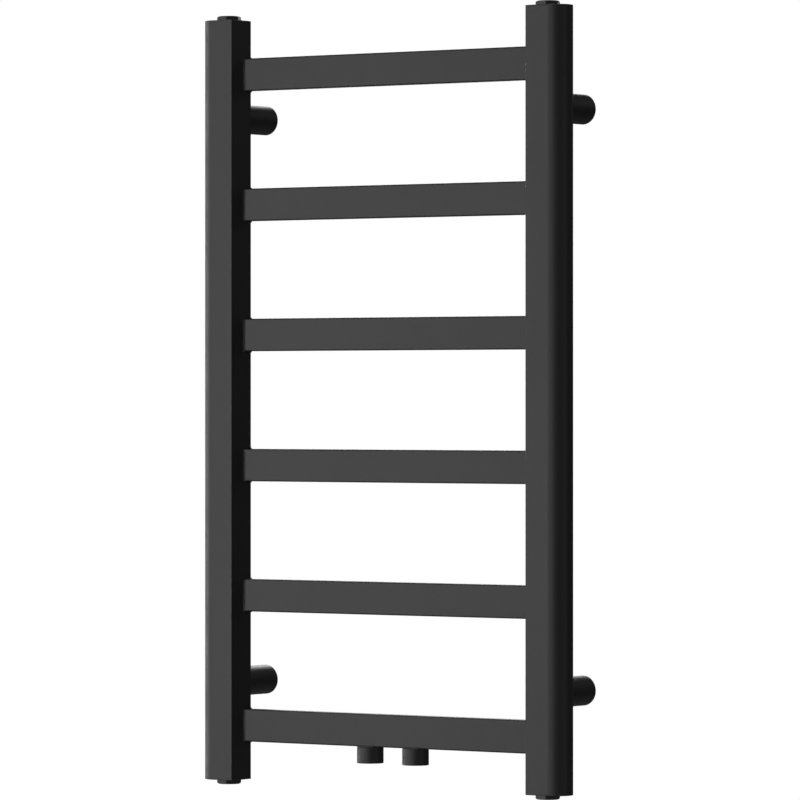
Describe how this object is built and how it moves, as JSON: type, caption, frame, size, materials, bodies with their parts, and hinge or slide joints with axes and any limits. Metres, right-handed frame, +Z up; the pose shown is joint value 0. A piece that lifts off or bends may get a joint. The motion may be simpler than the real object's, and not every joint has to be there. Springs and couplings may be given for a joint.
{
  "type": "towel radiator",
  "caption": "Wall-hung ladder towel radiator: half-round uprights, flat welded rungs, bottom centre connections, hex end plugs and adjustable stand-off brackets.",
  "frame": {"origin": "in the wall plane, midway between the four bracket feet, at mid-height", "axes": "+Z up along the uprights, +Y into the wall, +X to the right for a person who faces the radiator, so its front faces -Y"},
  "size_m": [0.4, 0.073, 0.708],
  "materials": {
    "coated_steel": "matt black powder coat with a soft sheen and a fine orange peel",
    "coated_bracket": "matt black powder coat",
    "plug_black": "satin black coated steel",
    "seal_rubber": "smooth black rubber",
    "zinc_steel": "bright zinc plating over turned steel",
    "black_oxide_steel": "oiled black oxide",
    "brass": "turned brass",
    "bare_steel": "bare welded steel"
  },
  "bodies": {
    "wall_brackets": {"top_left_bracket_sleeve": "coated_bracket", "top_right_bracket_sleeve": "coated_bracket", "bottom_left_bracket_sleeve": "coated_bracket", "bottom_right_bracket_sleeve": "coated_bracket"},
    "radiator": {"left_upright": "coated_steel", "right_upright": "coated_steel", "rung_1": "coated_steel", "rung_2": "coated_steel", "rung_3": "coated_steel", "rung_4": "coated_steel", "rung_5": "coated_steel", "rung_6": "coated_steel", "left_connection_boss": "coated_steel", "right_connection_boss": "coated_steel", "flow_baffle": "bare_steel", "bottom_left_end_cap": "coated_steel", "bottom_right_end_cap": "coated_steel", "top_left_end_cap": "coated_steel", "top_right_end_cap": "coated_steel", "bottom_left_blanking_plug": "plug_black", "bottom_right_blanking_plug": "plug_black", "top_left_blanking_plug": "plug_black", "top_right_vent_plug": "plug_black", "bottom_left_plug_seal": "seal_rubber", "bottom_right_plug_seal": "seal_rubber", "top_left_plug_seal": "seal_rubber", "top_right_plug_seal": "seal_rubber", "bottom_left_standoff_pin": "zinc_steel", "bottom_right_standoff_pin": "zinc_steel", "top_left_standoff_pin": "zinc_steel", "top_right_standoff_pin": "zinc_steel", "bottom_left_weld_bush": "bare_steel", "bottom_right_weld_bush": "bare_steel", "top_left_weld_bush": "bare_steel", "top_right_weld_bush": "bare_steel"},
    "bleed_valve": {"bleed_screw": "brass"},
    "top_left_grub": {"top_left_grub_screw": "black_oxide_steel"},
    "top_right_grub": {"top_right_grub_screw": "black_oxide_steel"},
    "bottom_left_grub": {"bottom_left_grub_screw": "black_oxide_steel"},
    "bottom_right_grub": {"bottom_right_grub_screw": "black_oxide_steel"}
  },
  "joints": [
    {"name": "wall_gap_slide", "type": "slide", "parent": "wall_brackets", "child": "radiator", "axis": [0, -1, 0], "range_m": [0, 0.012]},
    {"name": "bleed_screw_turn", "type": "hinge", "parent": "radiator", "child": "bleed_valve", "pos_m": [0.176, -0.058, 0.35], "axis": [0, 0, 1], "range_deg": [0, 270]},
    {"name": "top_left_grub_turn", "type": "hinge", "parent": "wall_brackets", "child": "top_left_grub", "pos_m": [-0.176, -0.029, 0.2494], "axis": [0, 0, -1], "range_deg": [0, 540]},
    {"name": "top_right_grub_turn", "type": "hinge", "parent": "wall_brackets", "child": "top_right_grub", "pos_m": [0.176, -0.029, 0.2494], "axis": [0, 0, -1], "range_deg": [0, 540]},
    {"name": "bottom_left_grub_turn", "type": "hinge", "parent": "wall_brackets", "child": "bottom_left_grub", "pos_m": [-0.176, -0.029, -0.2706], "axis": [0, 0, -1], "range_deg": [0, 540]},
    {"name": "bottom_right_grub_turn", "type": "hinge", "parent": "wall_brackets", "child": "bottom_right_grub", "pos_m": [0.176, -0.029, -0.2706], "axis": [0, 0, -1], "range_deg": [0, 540]}
  ]
}
